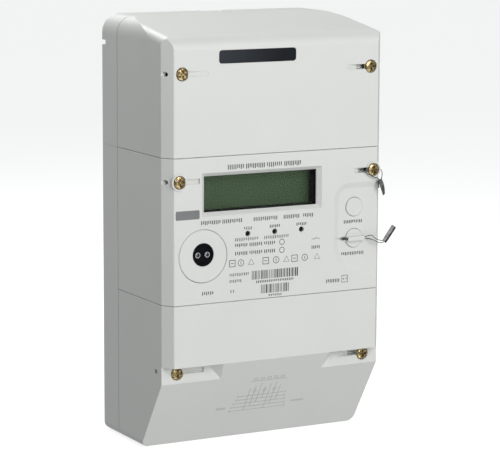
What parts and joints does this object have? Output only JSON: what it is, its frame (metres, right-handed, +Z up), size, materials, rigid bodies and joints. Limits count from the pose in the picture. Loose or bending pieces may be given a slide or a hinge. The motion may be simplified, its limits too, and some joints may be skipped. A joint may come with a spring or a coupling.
{
  "type": "smart electricity meter",
  "caption": "Wall-mounted three-phase smart electricity meter with upper, main and terminal covers, a display, buttons, an optical port and wire seals.",
  "frame": {"origin": "middle of the bottom edge of the case, on the wall plane", "axes": "+Z up, +Y into the wall, the front looks along -Y, +X to the reader's right"},
  "size_m": [0.1617, 0.0979, 0.2704],
  "materials": {
    "case_plastic": "fine satin moulded texture",
    "smoked_window": "smoked, polished",
    "clear_pane": "clear, polished",
    "display_glass": "dark green reflective display, off",
    "light_guide": "milky",
    "black_plastic": "fine matt",
    "circuit_board": "solder resist",
    "capacitor_can": "sleeved can",
    "core_steel": "laminated, varnished",
    "winding_tape": "amber tape",
    "dark_lens": "polished, nearly black",
    "diode_lens": "clear infrared diode with a bright die cup",
    "plain_steel": "bright zinc",
    "silicone": "translucent silicone",
    "module_plastic": "light grey, satin",
    "battery_sleeve": "printed sleeve, plain",
    "insulating_plastic": "dark grey thermoset",
    "terminal_brass": "machined",
    "bar_copper": "rolled copper",
    "aux_plastic": "green, satin",
    "gasket_rubber": "soft, matt",
    "passivated_steel": "yellow passivated zinc",
    "seal_wire": "twisted stainless wire",
    "seal_tag": "crimped soft metal"
  },
  "bodies": {
    "meter": {"rear_base": "case_plastic", "main_cover": "case_plastic", "optical_disc": "case_plastic", "lcd_window": "clear_pane", "lcd_frame": "black_plastic", "lcd_panel": "display_glass", "lcd_backlight": "light_guide", "main_board": "circuit_board", "module_board": "circuit_board", "processor_chips": "black_plastic", "capacitors": "capacitor_can", "power_transformer_core": "core_steel", "power_transformer_winding": "winding_tape", "indicator_leds": "dark_lens", "optical_lens": "dark_lens", "ir_transmitter": "diode_lens", "ir_receiver": "diode_lens", "optical_steel_ring": "plain_steel", "button_switches": "black_plastic", "view_button_boot": "silicone", "lock_button_boot": "silicone", "communication_module": "module_plastic", "module_connector": "black_plastic", "battery": "battery_sleeve", "battery_holder": "black_plastic", "terminal_block": "insulating_plastic", "terminal_clamps": "terminal_brass", "terminal_screws": "plain_steel", "current_bars": "bar_copper", "current_transformers": "winding_tape", "aux_terminal_block": "aux_plastic", "aux_terminal_screws": "plain_steel", "case_gasket": "gasket_rubber", "board_screws": "plain_steel", "module_board_screws": "plain_steel", "screw_inserts": "terminal_brass", "screw_seal_wire": "seal_wire", "button_seal_wire": "seal_wire", "screw_seal_tag": "seal_tag", "button_seal_tag": "seal_tag", "main_screw_left": "passivated_steel", "main_screw_right": "passivated_steel"},
    "upper_lid": {"upper_cover": "case_plastic", "upper_window": "smoked_window"},
    "terminal_lid": {"terminal_cover": "case_plastic"},
    "view_key": {"view_button": "case_plastic"},
    "lock_key": {"lock_button": "case_plastic"},
    "hanging_strap": {"hanger": "plain_steel"},
    "upper_screw_left_turning": {"upper_screw_left": "passivated_steel"},
    "upper_screw_right_turning": {"upper_screw_right": "passivated_steel"},
    "terminal_cover_screw_left_turning": {"terminal_cover_screw_left": "passivated_steel"},
    "terminal_cover_screw_right_turning": {"terminal_cover_screw_right": "passivated_steel"}
  },
  "joints": [
    {"name": "upper_lid_pull", "type": "slide", "parent": "meter", "child": "upper_lid", "axis": [0, -1, 0], "range_m": [0, 0.12]},
    {"name": "terminal_lid_pull", "type": "slide", "parent": "meter", "child": "terminal_lid", "axis": [0, -1, 0], "range_m": [0, 0.12]},
    {"name": "upper_screw_left_turn", "type": "hinge", "parent": "upper_lid", "child": "upper_screw_left_turning", "pos_m": [-0.0665, -0.07, 0.2387], "axis": [0, -1, 0], "continuous": true},
    {"name": "upper_screw_right_turn", "type": "hinge", "parent": "upper_lid", "child": "upper_screw_right_turning", "pos_m": [0.0665, -0.07, 0.2387], "axis": [0, -1, 0], "continuous": true},
    {"name": "terminal_cover_screw_left_turn", "type": "hinge", "parent": "terminal_lid", "child": "terminal_cover_screw_left_turning", "pos_m": [-0.0667, -0.07, 0.0522], "axis": [0, -1, 0], "continuous": true},
    {"name": "terminal_cover_screw_right_turn", "type": "hinge", "parent": "terminal_lid", "child": "terminal_cover_screw_right_turning", "pos_m": [0.0667, -0.07, 0.0522], "axis": [0, -1, 0], "continuous": true},
    {"name": "view_key_press", "type": "slide", "parent": "meter", "child": "view_key", "axis": [0, 1, 0], "range_m": [0, 0.001], "stiffness_N_per_m": 400, "springref_m": -0.003, "deforming": ["view_button_boot"]},
    {"name": "lock_key_press", "type": "slide", "parent": "meter", "child": "lock_key", "axis": [0, 1, 0], "range_m": [0, 0.001], "stiffness_N_per_m": 400, "springref_m": -0.003, "deforming": ["lock_button_boot"]},
    {"name": "hanger_slide", "type": "slide", "parent": "meter", "child": "hanging_strap", "axis": [0, 0, 1], "range_m": [0, 0.03]}
  ]
}
